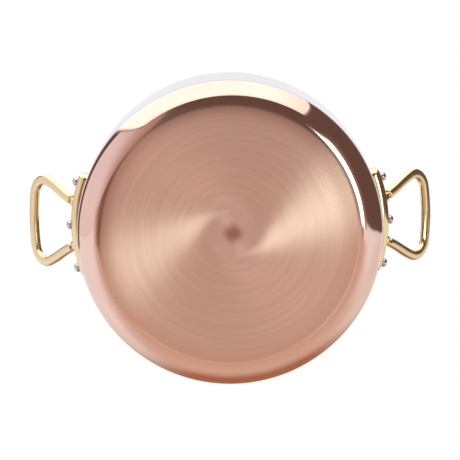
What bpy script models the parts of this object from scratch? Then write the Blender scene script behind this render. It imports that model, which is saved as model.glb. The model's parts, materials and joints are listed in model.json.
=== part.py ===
"""Copper stew pan: a copper body with a steel lining and two riveted brass loop handles.

Metres, +Z up. The origin is the centre of the base, and the handles lie along X.
The handle and the rivets are worked out for the handle at +X, and the one at -X is the same
turned by half a turn.
"""

import math

import bmesh
import bpy
from mathutils import Matrix, Vector

MM = 0.001

# Pan body, outside sizes
RIM_DIAMETER = 280.0 * MM
PAN_HEIGHT = 140.0 * MM
CORNER_RADIUS = 22.0 * MM
WALL_DRAFT = math.radians(0.3)
COPPER_THICKNESS = 1.8 * MM
LINING_THICKNESS = 0.4 * MM
RIM_ROUNDING = 0.5 * MM

# Rivets: a round head outside, a wide flat head inside
RIVET_SPACING = 38.6 * MM
RIVET_ROW_DROP = 22.0 * MM
SHANK_DIAMETER = 5.5 * MM
OUTER_HEAD_DIAMETER = 8.4 * MM
OUTER_HEAD_HEIGHT = 4.4 * MM
OUTER_HEAD_LAND = 1.2 * MM
INNER_HEAD_DIAMETER = 14.0 * MM
INNER_HEAD_HEIGHT = 2.2 * MM
INNER_HEAD_LAND = 0.6 * MM

# Handle flange, which lies against the wall
FLANGE_THICKNESS = 9.2 * MM
FLANGE_END_THICKNESS = 8.0 * MM
FLANGE_HEIGHT = 26.0 * MM
FLANGE_END_MARGIN = 9.7 * MM
FLANGE_CORNER_RADIUS = 6.5 * MM
FLANGE_EDGE_ROUNDING = 1.6 * MM
RIVET_ROW_TO_FLANGE_MIDDLE = 2.0 * MM

# Handle loop: two arms that rise and spread from the flange, and a slightly bowed grip bar
BAR_WIDTH = 8.5 * MM
BAR_THICKNESS = 6.6 * MM
BAR_EDGE_ROUNDING = 1.8 * MM
LOOP_RISE = math.radians(50.0)
LOOP_REACH = 63.1 * MM
LOOP_CORNER_RADIUS = 16.8 * MM
GRIP_BOW_RADIUS = 150.0 * MM
ARM_SPREAD = math.radians(24.5)
ROOT_SPACING = 41.5 * MM
ROOT_RISE = 9.0 * MM
NECK_LENGTH = 3.6 * MM
NECK_SHARE = 0.72
SHOULDER_LENGTH = 0.5 * MM
SHOULDER_SHARE = 1.12
ROOT_FLARE = 1.15

# Clearances between pieces that touch
FIT_GAP = 0.3 * MM
SHANK_CLEARANCE = 0.3 * MM

# Fineness of the round shapes
BODY_STEPS = 96
CORNER_STEPS = 7
RIVET_STEPS = 20
DOME_STEPS = 4
ARC_STEPS = 7
EDGE_STEPS = 3
HOLE_STEPS = 20
SHARP_EDGE_ANGLE = math.radians(35)
WELD_DISTANCE = 0.01 * MM

LINING_DEPTH = COPPER_THICKNESS + FIT_GAP
WALL_THICKNESS = LINING_DEPTH + LINING_THICKNESS
BASE_FLAT_RADIUS = (RIM_DIAMETER / 2 - CORNER_RADIUS * math.cos(WALL_DRAFT)
                    - (PAN_HEIGHT - CORNER_RADIUS * (1 - math.sin(WALL_DRAFT))) * math.tan(WALL_DRAFT))
RIVET_ROW_HEIGHT = PAN_HEIGHT - RIVET_ROW_DROP


def wall_radius(height, depth=0.0):
    """Radius of the wall at a height, or of the surface that lies a depth inside it."""
    below_rim = PAN_HEIGHT - height
    return RIM_DIAMETER / 2 - below_rim * math.tan(WALL_DRAFT) - depth / math.cos(WALL_DRAFT)


ROW_RADIUS = wall_radius(RIVET_ROW_HEIGHT)
FLANGE_LENGTH = 2 * (RIVET_SPACING + FLANGE_END_MARGIN)
FLANGE_MIDDLE_HEIGHT = RIVET_ROW_HEIGHT + RIVET_ROW_TO_FLANGE_MIDDLE


def arc_points(centre, radius, start, end, steps):
    """Points (x, y) along an arc, both ends included, with angles in radians."""
    angles = [start + (end - start) * i / steps for i in range(steps + 1)]
    return [(centre[0] + radius * math.cos(a), centre[1] + radius * math.sin(a)) for a in angles]


def bowl_profile(depth):
    """Half section (radius, height) of the surface a depth inside the pan, centre to rim."""
    centre = (BASE_FLAT_RADIUS, CORNER_RADIUS)
    corner = arc_points(centre, CORNER_RADIUS - depth, -math.pi / 2, -WALL_DRAFT, CORNER_STEPS)
    return [(0.0, depth)] + corner + [(wall_radius(PAN_HEIGHT, depth), PAN_HEIGHT)]


def shell_profile(outer_depth, inner_depth, outer_rim_rounding):
    """Closed half section of one skin of the pan: up the inside, over the rim, down the outside."""
    inside = bowl_profile(inner_depth)
    outside = bowl_profile(outer_depth)
    if outer_rim_rounding:
        rim_radius = outside.pop()[0]
        centre = (rim_radius - outer_rim_rounding, PAN_HEIGHT - outer_rim_rounding)
        outside += arc_points(centre, outer_rim_rounding, 0.0, math.pi / 2, EDGE_STEPS)
    return inside + outside[::-1]


def new_collection(name):
    """A collection linked to the scene."""
    collection = bpy.data.collections.new(name)
    bpy.context.scene.collection.children.link(collection)
    return collection


def new_material(name, colour, metallic, roughness):
    """A Principled material of one colour."""
    material = bpy.data.materials.new(name)
    material.use_nodes = True
    shader = material.node_tree.nodes["Principled BSDF"]
    shader.inputs["Base Color"].default_value = (*colour, 1.0)
    shader.inputs["Metallic"].default_value = metallic
    shader.inputs["Roughness"].default_value = roughness
    material.diffuse_color = (*colour, 1.0)
    return material


def new_object(name, data, collection, material=None):
    """An object in a collection, with its material."""
    obj = bpy.data.objects.new(name, data)
    collection.objects.link(obj)
    if material:
        data.materials.clear()
        data.materials.append(material)
    return obj


def turned_object(name, profile, steps, collection, material=None):
    """A round object: a profile of (radius, height) points turned about Z by a Screw modifier."""
    mesh = bpy.data.meshes.new(name)
    points = [(radius, 0.0, height) for radius, height in profile]
    edges = [(i, i + 1) for i in range(len(points) - 1)]
    mesh.from_pydata(points, edges, [])
    obj = new_object(name, mesh, collection, material)
    screw = obj.modifiers.new("turn", "SCREW")
    screw.steps = steps
    screw.render_steps = steps
    screw.use_merge_vertices = True
    screw.merge_threshold = WELD_DISTANCE
    screw.use_smooth_shade = True
    return obj


def add_boolean(obj, operation, operand):
    """Cuts or joins another object, with the EXACT solver."""
    boolean = obj.modifiers.new(operation.lower(), "BOOLEAN")
    boolean.operation = operation
    boolean.solver = "EXACT"
    boolean.object = operand


def hide_guide(obj):
    """Marks a cutter or a guide, which is not a piece of the pan."""
    obj.display_type = "WIRE"
    obj.hide_render = True


def mesh_of(obj, name):
    """The evaluated mesh of an object in world space, with loose caps welded."""
    depsgraph = bpy.context.evaluated_depsgraph_get()
    mesh = bpy.data.meshes.new_from_object(obj.evaluated_get(depsgraph), depsgraph=depsgraph)
    mesh.name = name
    mesh.transform(obj.matrix_world)
    shape = bmesh.new()
    shape.from_mesh(mesh)
    bmesh.ops.remove_doubles(shape, verts=shape.verts, dist=WELD_DISTANCE)
    bmesh.ops.recalc_face_normals(shape, faces=shape.faces)
    shape.to_mesh(mesh)
    shape.free()
    return mesh


def flange_thickness(angle):
    """Thickness of the flange at an angle from the handle's middle: it thins towards its ends."""
    share = angle * ROW_RADIUS / (FLANGE_LENGTH / 2)
    return FLANGE_THICKNESS - (FLANGE_THICKNESS - FLANGE_END_THICKNESS) * share ** 2


def rivet_places():
    """Name and angle of each rivet of one handle, from front to back."""
    step = RIVET_SPACING / ROW_RADIUS
    return [("front", -step), ("middle", 0.0), ("back", step)]


def rivet_matrix(angle):
    """Placing of a rivet: origin on the wall's outside, local +Z square to the wall, outwards."""
    tip_over = Matrix.Rotation(math.pi / 2 + WALL_DRAFT, 4, "Y")
    place = Matrix.Translation((ROW_RADIUS, 0.0, RIVET_ROW_HEIGHT))
    return Matrix.Rotation(angle, 4, "Z") @ place @ tip_over


def head_sink(head_diameter, surface_radius):
    """How far a curved wall rises towards the edge of a flat head laid across it."""
    return surface_radius - math.sqrt(surface_radius ** 2 - (head_diameter / 2) ** 2)


def rivet_profile(angle):
    """Half section (radius, height) of a rivet, from its outer head to its inner head."""
    outer_seat = FIT_GAP + flange_thickness(angle) + FIT_GAP
    inner_radius = wall_radius(RIVET_ROW_HEIGHT, WALL_THICKNESS)
    inner_seat = -(WALL_THICKNESS + FIT_GAP + head_sink(INNER_HEAD_DIAMETER, inner_radius))
    shank = SHANK_DIAMETER / 2
    outer = OUTER_HEAD_DIAMETER / 2
    inner = INNER_HEAD_DIAMETER / 2
    turns = [math.pi / 2 * i / DOME_STEPS for i in range(DOME_STEPS + 1)]
    outer_dome = OUTER_HEAD_HEIGHT - OUTER_HEAD_LAND
    inner_dome = INNER_HEAD_HEIGHT - INNER_HEAD_LAND
    top = [(outer * math.sin(t), outer_seat + OUTER_HEAD_LAND + outer_dome * math.cos(t)) for t in turns]
    bottom = [(inner * math.cos(t), inner_seat - INNER_HEAD_LAND - inner_dome * math.sin(t)) for t in turns]
    middle = [(outer, outer_seat), (shank, outer_seat), (shank, inner_seat), (inner, inner_seat)]
    return top + middle + bottom


def add_hole_cutter(collection):
    """One cutter that holds the six rivet holes, through the flanges, the wall and the lining."""
    shape = bmesh.new()
    reach = FLANGE_THICKNESS + OUTER_HEAD_DIAMETER
    for side in (0.0, math.pi):
        for _, angle in rivet_places():
            place = Matrix.Rotation(side, 4, "Z") @ rivet_matrix(angle)
            bmesh.ops.create_cone(shape, cap_ends=True, segments=HOLE_STEPS,
                                  radius1=SHANK_DIAMETER / 2 + SHANK_CLEARANCE,
                                  radius2=SHANK_DIAMETER / 2 + SHANK_CLEARANCE,
                                  depth=2 * reach, matrix=place)
    mesh = bpy.data.meshes.new("rivet_holes")
    shape.to_mesh(mesh)
    shape.free()
    cutter = new_object("rivet_holes", mesh, collection)
    hide_guide(cutter)
    return cutter


def add_body(collection, cutter, copper, steel):
    """The copper shell and its lining, with the holes for the rivets."""
    skins = [
        ("copper_body", shell_profile(0.0, COPPER_THICKNESS, RIM_ROUNDING), copper),
        ("steel_lining", shell_profile(LINING_DEPTH, WALL_THICKNESS, 0.0), steel),
    ]
    for name, profile, material in skins:
        skin = turned_object(name, profile, BODY_STEPS, collection, material)
        add_boolean(skin, "DIFFERENCE", cutter)


def flange_outline():
    """Outline of the unrolled flange in (length, height): a plate with rounded corners."""
    half_length = FLANGE_LENGTH / 2 - FLANGE_CORNER_RADIUS
    half_height = FLANGE_HEIGHT / 2 - FLANGE_CORNER_RADIUS
    outline = []
    for quarter, (sx, sy) in enumerate([(1, 1), (-1, 1), (-1, -1), (1, -1)]):
        start = quarter * math.pi / 2
        outline += arc_points((sx * half_length, sy * half_height), FLANGE_CORNER_RADIUS,
                              start, start + math.pi / 2, ARC_STEPS)
    return outline


def flange_mesh():
    """The flange: a flat plate, rounded along its outer edge, then wrapped round the wall."""
    shape = bmesh.new()
    face = shape.faces.new([shape.verts.new((x, y, 0.0)) for x, y in flange_outline()])
    grown = bmesh.ops.extrude_face_region(shape, geom=[face])["geom"]
    lifted = [item for item in grown if isinstance(item, bmesh.types.BMVert)]
    bmesh.ops.translate(shape, verts=lifted, vec=(0.0, 0.0, FLANGE_THICKNESS))
    rim = [edge for edge in shape.edges if all(vert in lifted for vert in edge.verts)]
    bmesh.ops.bevel(shape, geom=rim, offset=FLANGE_EDGE_ROUNDING, segments=EDGE_STEPS,
                    profile=0.5, affect="EDGES")
    facet = 2 * math.pi / BODY_STEPS
    count = math.floor(FLANGE_LENGTH / 2 / ROW_RADIUS / facet)
    for i in range(-count, count + 1):
        everything = shape.verts[:] + shape.edges[:] + shape.faces[:]
        bmesh.ops.bisect_plane(shape, geom=everything, dist=WELD_DISTANCE,
                               plane_co=(i * facet * ROW_RADIUS, 0.0, 0.0), plane_no=(1.0, 0.0, 0.0))
    bmesh.ops.triangulate(shape, faces=shape.faces)
    for vert in shape.verts:
        angle = vert.co.x / ROW_RADIUS
        height = FLANGE_MIDDLE_HEIGHT + vert.co.y
        depth = vert.co.z * flange_thickness(angle) / FLANGE_THICKNESS
        radius = wall_radius(height) + FIT_GAP + depth
        vert.co = (radius * math.cos(angle), radius * math.sin(angle), height)
    bmesh.ops.recalc_face_normals(shape, faces=shape.faces)
    mesh = bpy.data.meshes.new("flange")
    shape.to_mesh(mesh)
    shape.free()
    return mesh


def loop_half_path():
    """Half of the loop's centre line as (reach, offset, scale), from the flange to the middle.

    The arm is a line, the corner an arc that touches the arm and lies inside the bow of the grip.
    """
    slope = math.tan(ARM_SPREAD)
    root = ROOT_SPACING / 2
    bow_centre = LOOP_REACH - GRIP_BOW_RADIUS
    inside = root - LOOP_CORNER_RADIUS / math.cos(ARM_SPREAD)
    a = 1 + slope ** 2
    b = 2 * (slope * inside - bow_centre)
    c = bow_centre ** 2 + inside ** 2 - (GRIP_BOW_RADIUS - LOOP_CORNER_RADIUS) ** 2
    centre_x = (-b + math.sqrt(b * b - 4 * a * c)) / (2 * a)
    centre_y = inside + slope * centre_x
    arm_end = math.pi / 2 + ARM_SPREAD
    bow_end = math.atan2(centre_y, centre_x - bow_centre)
    corner = arc_points((centre_x, centre_y), LOOP_CORNER_RADIUS, arm_end, bow_end, ARC_STEPS)
    bow = arc_points((bow_centre, 0.0), GRIP_BOW_RADIUS, bow_end, 0.0, EDGE_STEPS)[1:]
    sunk = -FLANGE_END_THICKNESS / 2 / math.cos(LOOP_RISE)
    arm = [
        (sunk, ROOT_FLARE),
        (0.0, ROOT_FLARE),
        (NECK_LENGTH / 2, NECK_SHARE),
        (NECK_LENGTH, NECK_SHARE),
        (NECK_LENGTH + SHOULDER_LENGTH, SHOULDER_SHARE),
    ]
    path = [(x, root + slope * x, scale) for x, scale in arm]
    return path + [(x, y, 1.0) for x, y in corner + bow]


def bar_section():
    """Outline of the bar's section: a rectangle with rounded edges, (width, thickness)."""
    half_width = BAR_WIDTH / 2 - BAR_EDGE_ROUNDING
    half_thickness = BAR_THICKNESS / 2 - BAR_EDGE_ROUNDING
    outline = []
    for quarter, (sx, sy) in enumerate([(1, 1), (-1, 1), (-1, -1), (1, -1)]):
        start = quarter * math.pi / 2
        outline += arc_points((sx * half_width, sy * half_thickness), BAR_EDGE_ROUNDING,
                              start, start + math.pi / 2, EDGE_STEPS)
    return outline


def new_curve(name, points, cyclic, collection):
    """A flat curve object of one POLY spline; each point is (x, y, scale of the section)."""
    curve = bpy.data.curves.new(name, "CURVE")
    curve.dimensions = "2D"
    curve.fill_mode = "NONE"
    spline = curve.splines.new("POLY")
    spline.points.add(len(points) - 1)
    for point, (x, y, scale) in zip(spline.points, points):
        point.co = (x, y, 0.0, 1.0)
        point.radius = scale
    spline.use_cyclic_u = cyclic
    obj = new_object(name, curve, collection)
    hide_guide(obj)
    return obj


def loop_mesh(collection):
    """The loop: the bar's section swept along the centre line, tipped up from the flange."""
    section = new_curve("bar_section", [(x, y, 1.0) for x, y in bar_section()], True, collection)
    half = loop_half_path()
    other_half = [(x, -y, scale) for x, y, scale in half[-2::-1]]
    path = new_curve("loop_path", half + other_half, False, collection)
    path.data.bevel_mode = "OBJECT"
    path.data.bevel_object = section
    path.data.use_fill_caps = True
    root_angle = math.asin(ROOT_SPACING / 2 / (ROW_RADIUS + FIT_GAP + FLANGE_THICKNESS))
    root_radius = ROW_RADIUS + FIT_GAP + flange_thickness(root_angle)
    root = Vector((root_radius * math.cos(root_angle), 0.0, RIVET_ROW_HEIGHT + ROOT_RISE))
    path.matrix_world = Matrix.Translation(root) @ Matrix.Rotation(-LOOP_RISE, 4, "Y")
    bpy.context.view_layer.update()
    mesh = mesh_of(path, "loop")
    bpy.data.objects.remove(path)
    bpy.data.objects.remove(section)
    return mesh


def add_handles(collection, guides, cutter, brass):
    """Both handles, each one casting: the flange and the loop joined, drilled for the rivets."""
    loop = new_object("loop_blank", loop_mesh(guides), guides)
    hide_guide(loop)
    blank = new_object("handle_blank", flange_mesh(), guides)
    hide_guide(blank)
    add_boolean(blank, "UNION", loop)
    add_boolean(blank, "DIFFERENCE", cutter)
    bpy.context.view_layer.update()
    casting = mesh_of(blank, "handle")
    casting.shade_smooth()
    casting.set_sharp_from_angle(angle=SHARP_EDGE_ANGLE)
    bpy.data.objects.remove(blank)
    bpy.data.objects.remove(loop)
    for name, turn in [("handle_right", 0.0), ("handle_left", math.pi)]:
        handle = new_object(name, casting, collection, brass)
        handle.rotation_euler.z = turn


def add_rivets(collection, steel):
    """Six rivets, three through each flange. Half a turn swaps the front and the back."""
    for side, turn, sense in [("right", 0.0, 1), ("left", math.pi, -1)]:
        for place, angle in rivet_places():
            name = f"rivet_{side}_{place}"
            rivet = turned_object(name, rivet_profile(angle), RIVET_STEPS, collection, steel)
            rivet.matrix_world = Matrix.Rotation(turn, 4, "Z") @ rivet_matrix(sense * angle)


def main():
    """Clears the scene and builds the pan."""
    for obj in list(bpy.data.objects):
        bpy.data.objects.remove(obj)
    parts = new_collection("copper_stew_pan")
    guides = new_collection("cutters_and_guides")
    copper = new_material("copper", (0.62, 0.30, 0.20), 1.0, 0.22)
    steel = new_material("brushed_stainless", (0.60, 0.59, 0.57), 1.0, 0.35)
    brass = new_material("cast_brass", (0.78, 0.58, 0.27), 1.0, 0.20)
    rivet_steel = new_material("rivet_steel", (0.58, 0.56, 0.55), 1.0, 0.28)
    cutter = add_hole_cutter(guides)
    add_body(parts, cutter, copper, steel)
    add_handles(parts, guides, cutter, brass)
    add_rivets(parts, rivet_steel)


main()
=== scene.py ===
"""Looks of a copper stew pan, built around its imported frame.

Metres, +Z up: the origin is the centre of the base, and the two handles lie along X. The
picture looks up at the base, so the floor lets light and sight through from below and is
solid from above.
"""

from __future__ import annotations

import json
import logging
import math
from abc import ABC, abstractmethod
from dataclasses import dataclass, field
from enum import Enum
from typing import Sequence, Union

import bmesh
import bpy
from bpy.types import Material, Mesh, Node, NodeSocket as Socket, NodeTree, Object
from mathutils import Matrix, Vector

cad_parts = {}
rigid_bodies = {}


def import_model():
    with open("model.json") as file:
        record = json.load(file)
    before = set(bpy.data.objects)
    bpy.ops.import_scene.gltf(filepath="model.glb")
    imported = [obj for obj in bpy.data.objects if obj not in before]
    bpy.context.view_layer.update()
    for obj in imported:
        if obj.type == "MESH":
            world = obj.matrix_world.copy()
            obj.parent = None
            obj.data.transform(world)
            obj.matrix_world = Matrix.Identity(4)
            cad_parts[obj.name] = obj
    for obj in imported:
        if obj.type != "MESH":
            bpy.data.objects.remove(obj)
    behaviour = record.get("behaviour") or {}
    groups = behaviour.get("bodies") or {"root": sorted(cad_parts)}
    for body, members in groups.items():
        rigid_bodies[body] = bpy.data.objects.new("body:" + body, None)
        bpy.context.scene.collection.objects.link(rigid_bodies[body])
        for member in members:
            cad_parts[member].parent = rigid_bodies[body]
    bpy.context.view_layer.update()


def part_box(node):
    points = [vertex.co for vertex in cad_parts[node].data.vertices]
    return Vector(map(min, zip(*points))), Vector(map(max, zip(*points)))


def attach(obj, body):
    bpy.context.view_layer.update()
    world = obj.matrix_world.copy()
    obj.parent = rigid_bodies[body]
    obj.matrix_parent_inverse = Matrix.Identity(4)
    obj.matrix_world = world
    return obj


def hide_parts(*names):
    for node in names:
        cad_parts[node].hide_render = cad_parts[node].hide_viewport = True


MM = 0.001
LOG = logging.getLogger("stew_pan")
SHARP_ANGLE = math.radians(50.0)
BAND_LEVELS = (0.3, 0.7)
PIT_LEVELS = (0.25, 0.5)
Colour = tuple[float, float, float]
Direction = tuple[float, float, float]
Point = tuple[float, float]
Sockets = bpy.types.bpy_prop_collection
Feed = Union[Socket, Node, float, int, Sequence[float], bpy.types.ID]
SOCKET_KINDS = {float: "NodeSocketFloat", int: "NodeSocketInt", tuple: "NodeSocketVector"}


class Side(Enum):
    """The two ends of the pan that carry a handle, with the turn that takes +X there."""

    RIGHT = 0.0
    LEFT = math.pi

    @property
    def word(self) -> str:
        """The side's name in the names of pieces."""
        return self.name.lower()

    @property
    def turn(self) -> Matrix:
        """The turn about +Z that brings a piece made at +X to this side."""
        return Matrix.Rotation(self.value, 4, "Z")


class Graph:
    """Short calls that add nodes to one node tree and link them."""

    def __init__(self, tree: NodeTree) -> None:
        """Starts on a node tree."""
        self.tree = tree

    def add(self, kind: str, feeds: dict[Union[str, int], Feed] | None = None,
            **settings: object) -> Node:
        """Adds a node, sets its properties and feeds its inputs.

        Args:
            kind: the node's type name.
            feeds: what each input takes, by input name or number.
            settings: the node's properties.

        Returns:
            The new node.
        """
        node = self.tree.nodes.new(kind)
        for name, value in settings.items():
            setattr(node, name, value)
        for key, value in (feeds or {}).items():
            self.feed(node.inputs[key], value)
        return node

    def feed(self, socket: Socket, value: Feed) -> None:
        """Links an input, or sets its own value.

        Args:
            socket: the input.
            value: an output socket, a node whose first output is meant, or a plain value.
        """
        if isinstance(value, Node):
            value = value.outputs[0]
        if isinstance(value, Socket):
            self.tree.links.new(value, socket)
        else:
            socket.default_value = value

    def math(self, operation: str, *terms: Feed) -> Socket:
        """The result of one Math node."""
        return self.add("ShaderNodeMath", dict(enumerate(terms)), operation=operation).outputs[0]

    def vector(self, operation: str, *terms: Feed) -> Socket:
        """The result of one Vector Math node: a number for a product or a length."""
        node = self.add("ShaderNodeVectorMath", dict(enumerate(terms)), operation=operation)
        return node.outputs["Value" if operation in {"DOT_PRODUCT", "LENGTH"} else "Vector"]

    def scale(self, vector: Feed, factor: Feed) -> Node:
        """A vector times a number."""
        return self.add("ShaderNodeVectorMath", {0: vector, "Scale": factor}, operation="SCALE")

    def point(self, **parts: Feed) -> Node:
        """A vector from its X, Y and Z; one that isn't given is 0."""
        return self.add("ShaderNodeCombineXYZ", parts)

    def round_point(self, angle: Feed, radius: Feed, height: Feed = 0.0) -> Node:
        """Sets a point out round +Z.

        Args:
            angle: the angle from +X.
            radius: the distance from the axis.
            height: the height.

        Returns:
            The point.
        """
        across = self.math("MULTIPLY", self.math("COSINE", angle), radius)
        along = self.math("MULTIPLY", self.math("SINE", angle), radius)
        return self.point(X=across, Y=along, Z=height)

    def part(self, vector: Feed, axis: str) -> Socket:
        """The X, Y or Z of a vector."""
        return self.add("ShaderNodeSeparateXYZ", {0: vector}).outputs[axis]

    def noise(self, place: Feed, scale: Feed, detail: float) -> Node:
        """A noise field from 0 to 1."""
        return self.add("ShaderNodeTexNoise", {"Vector": place, "Scale": scale, "Detail": detail})

    def rise(self, value: Feed, start: float, end: float) -> Socket:
        """A smooth rise from 0 where a value is at start to 1 where it is at end."""
        feeds = {"Value": value, "From Min": start, "From Max": end}
        return self.add("ShaderNodeMapRange", feeds, interpolation_type="SMOOTHSTEP").outputs[0]

    def blend(self, share: Feed, first: Feed, second: Feed) -> Socket:
        """A mix of two colours, from the first at share 0 to the second at share 1."""
        feeds = {"Factor": share, 6: with_alpha(first), 7: with_alpha(second)}
        return self.add("ShaderNodeMix", feeds, data_type="RGBA").outputs[2]

    def place(self) -> Socket:
        """Where a point of the piece lies, in Object coordinates."""
        return self.add("ShaderNodeTexCoord").outputs["Object"]

    def from_axis(self, centre: Feed = (0.0, 0.0, 0.0)) -> tuple[Socket, Socket]:
        """How a point lies from an upright axis.

        Args:
            centre: where the axis stands.

        Returns:
            The level offset, and its direction.
        """
        offset = self.vector("SUBTRACT", self.place(), centre)
        level = self.vector("MULTIPLY", offset, (1.0, 1.0, 0.0))
        return level, self.vector("NORMALIZE", level)

    def store(self, shape: Feed, name: str, value: Feed) -> Node:
        """Keeps a number on each point of a shape, under a name."""
        feeds = {"Geometry": shape, "Name": name, "Value": value}
        return self.add("GeometryNodeStoreNamedAttribute", feeds, data_type="FLOAT", domain="POINT")

    def stored(self, name: str) -> Node:
        """The number that a point keeps under a name."""
        return self.add("GeometryNodeInputNamedAttribute", {"Name": name}, data_type="FLOAT")

    def close(self, shape: Feed, given: Sockets, made: Sockets) -> None:
        """Ends a Geometry Nodes tree with plain geometry of one material.

        Args:
            shape: the geometry.
            given: the tree's inputs, one of which is the material.
            made: the tree's outputs.
        """
        real = self.add("GeometryNodeRealizeInstances", {"Geometry": shape})
        feeds = {"Geometry": real, "Material": given["Material"]}
        self.feed(made["Geometry"], self.add("GeometryNodeSetMaterial", feeds))


def with_alpha(colour: Feed) -> Feed:
    """A plain colour as the four numbers that a colour socket takes; a socket stays as it is."""
    return colour if isinstance(colour, Socket) else (*colour, 1.0)


def new_group(name: str, kind: str, inputs: dict[str, Feed | str],
              outputs: dict[str, str]) -> tuple[Graph, Sockets, Sockets]:
    """Makes a node group with named inputs and outputs.

    Args:
        name: the group's name.
        kind: ShaderNodeTree or GeometryNodeTree.
        inputs: by name, the default value, or the socket type of an input that has none.
        outputs: by name, the socket type.

    Returns:
        The group's graph, the sockets that bring its inputs, and those that take its outputs.
    """
    tree = bpy.data.node_groups.new(name, kind)
    for label, value in inputs.items():
        socket_kind = SOCKET_KINDS.get(type(value), value)
        socket = tree.interface.new_socket(label, in_out="INPUT", socket_type=socket_kind)
        if socket_kind is not value:
            socket.default_value = value
    for label, socket_kind in outputs.items():
        tree.interface.new_socket(label, in_out="OUTPUT", socket_type=socket_kind)
    graph = Graph(tree)
    return graph, graph.add("NodeGroupInput").outputs, graph.add("NodeGroupOutput").inputs


def new_shape_group(name: str, sizes: dict[str, Feed]) -> tuple[Graph, Sockets, Sockets]:
    """Makes a Geometry Nodes tree that takes a shape, its sizes and a material, as new_group does."""
    inputs = {"Geometry": "NodeSocketGeometry", **sizes, "Material": "NodeSocketMaterial"}
    return new_group(name, "GeometryNodeTree", inputs, {"Geometry": "NodeSocketGeometry"})


def new_piece(name: str, mesh: Mesh) -> Object:
    """Links a new object to the scene, at the origin.

    Args:
        name: its name.
        mesh: its mesh.

    Returns:
        The object.
    """
    piece = bpy.data.objects.new(name, mesh)
    bpy.context.scene.collection.objects.link(piece)
    return piece


def settled_mesh(obj: Object, name: str) -> Mesh:
    """Takes an object's evaluated mesh and removes the object.

    Args:
        obj: the object, with its modifiers.
        name: the new mesh's name.

    Returns:
        The plain mesh.
    """
    depsgraph = bpy.context.evaluated_depsgraph_get()
    mesh = bpy.data.meshes.new_from_object(obj.evaluated_get(depsgraph), depsgraph=depsgraph)
    mesh.name = name
    old = obj.data
    bpy.data.objects.remove(obj)
    bpy.data.meshes.remove(old)
    return mesh


def mesh_of(shape: bmesh.types.BMesh, name: str) -> Mesh:
    """Turns what was drawn in a BMesh into a mesh.

    Args:
        shape: the BMesh, which is freed.
        name: the mesh's name.

    Returns:
        The mesh.
    """
    mesh = bpy.data.meshes.new(name)
    shape.to_mesh(mesh)
    shape.free()
    return mesh


def arc(centre: Point, radius: float, start: float, end: float, steps: int) -> list[Point]:
    """Points along an arc from one angle to another, both ends included."""
    angles = [start + (end - start) * i / steps for i in range(steps + 1)]
    return [(centre[0] + radius * math.cos(a), centre[1] + radius * math.sin(a)) for a in angles]


def section_mesh(name: str, points: Sequence[Point], shares: Sequence[float] = ()) -> Mesh:
    """Draws a line of edges, which a tree turns or sweeps.

    Args:
        name: the mesh's name.
        points: the line's points, in the mesh's own X and Y.
        shares: the size of what is swept along the line, at each point.

    Returns:
        The mesh.
    """
    mesh = bpy.data.meshes.new(name)
    edges = [(i, i + 1) for i in range(len(points) - 1)]
    mesh.from_pydata([(x, y, 0.0) for x, y in points], edges, [])
    if shares:
        mesh.attributes.new("share", "FLOAT", "POINT").data.foreach_set("value", shares)
    return mesh


def face_out(mesh: Mesh) -> None:
    """Turns the faces of a closed mesh to point out of it, and shades it smooth.

    Args:
        mesh: the mesh.
    """
    shape = bmesh.new()
    shape.from_mesh(mesh)
    bmesh.ops.recalc_face_normals(shape, faces=shape.faces)
    shape.to_mesh(mesh)
    shape.free()
    mesh.shade_smooth()


def grown_mesh(line: Mesh, tree: NodeTree, values: dict[str, Feed]) -> Mesh:
    """Runs a Geometry Nodes tree on a line.

    Args:
        line: the mesh of edges, whose name the result takes.
        tree: the tree.
        values: the tree's inputs by name; the modifier takes them by their identifiers.

    Returns:
        The closed mesh, with its faces pointing out.
    """
    blank = new_piece(line.name, line)
    modifier = blank.modifiers.new(tree.name, "NODES")
    modifier.node_group = tree
    for item in tree.interface.items_tree:
        if item.item_type == "SOCKET" and item.in_out == "INPUT" and item.name in values:
            modifier[item.identifier] = values[item.name]
    mesh = settled_mesh(blank, line.name)
    face_out(mesh)
    return mesh


@dataclass
class Turner:
    """Geometry Nodes that turn a half section about +Z into a closed round shell."""

    segments: int = 360
    weld: float = 0.004 * MM
    tree: NodeTree = field(init=False)

    def __post_init__(self) -> None:
        """Builds the node group."""
        sizes = {"Segments": self.segments, "Rail Radius": 100.0 * MM, "Weld": self.weld}
        graph, given, made = new_shape_group("turned_shell", sizes)
        rail = graph.add("GeometryNodeCurvePrimitiveCircle",
                         {"Resolution": given["Segments"], "Radius": given["Rail Radius"]})
        upright = graph.add("GeometryNodeSetCurveNormal", {"Curve": rail}, mode="Z_UP")
        place = graph.add("GeometryNodeInputPosition")
        across = graph.math("SUBTRACT", graph.part(place, "X"), given["Rail Radius"])
        shifted = graph.point(X=across, Y=graph.math("MULTIPLY", graph.part(place, "Y"), -1.0))
        outline = graph.add("GeometryNodeSetPosition",
                            {"Geometry": given["Geometry"], "Position": shifted})
        section = graph.add("GeometryNodeMeshToCurve", {"Mesh": outline})
        swept = graph.add("GeometryNodeCurveToMesh", {"Curve": upright, "Profile Curve": section})
        welded = graph.add("GeometryNodeMergeByDistance",
                           {"Geometry": swept, "Distance": given["Weld"]})
        graph.close(welded, given, made)
        self.tree = graph.tree

    def turned(self, name: str, section: Sequence[Point], rail_radius: float,
               material: Material) -> Mesh:
        """Turns a closed half section.

        Args:
            name: the mesh's name.
            section: the outline as (radius, height), whose ends lie on the axis.
            rail_radius: the radius of the circle that carries the section.
            material: the finish of the whole shell.

        Returns:
            The shell's mesh, with its faces pointing out.
        """
        values = {"Segments": self.segments, "Rail Radius": rail_radius, "Weld": self.weld,
                  "Material": material}
        return grown_mesh(section_mesh(name, section), self.tree, values)


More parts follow.
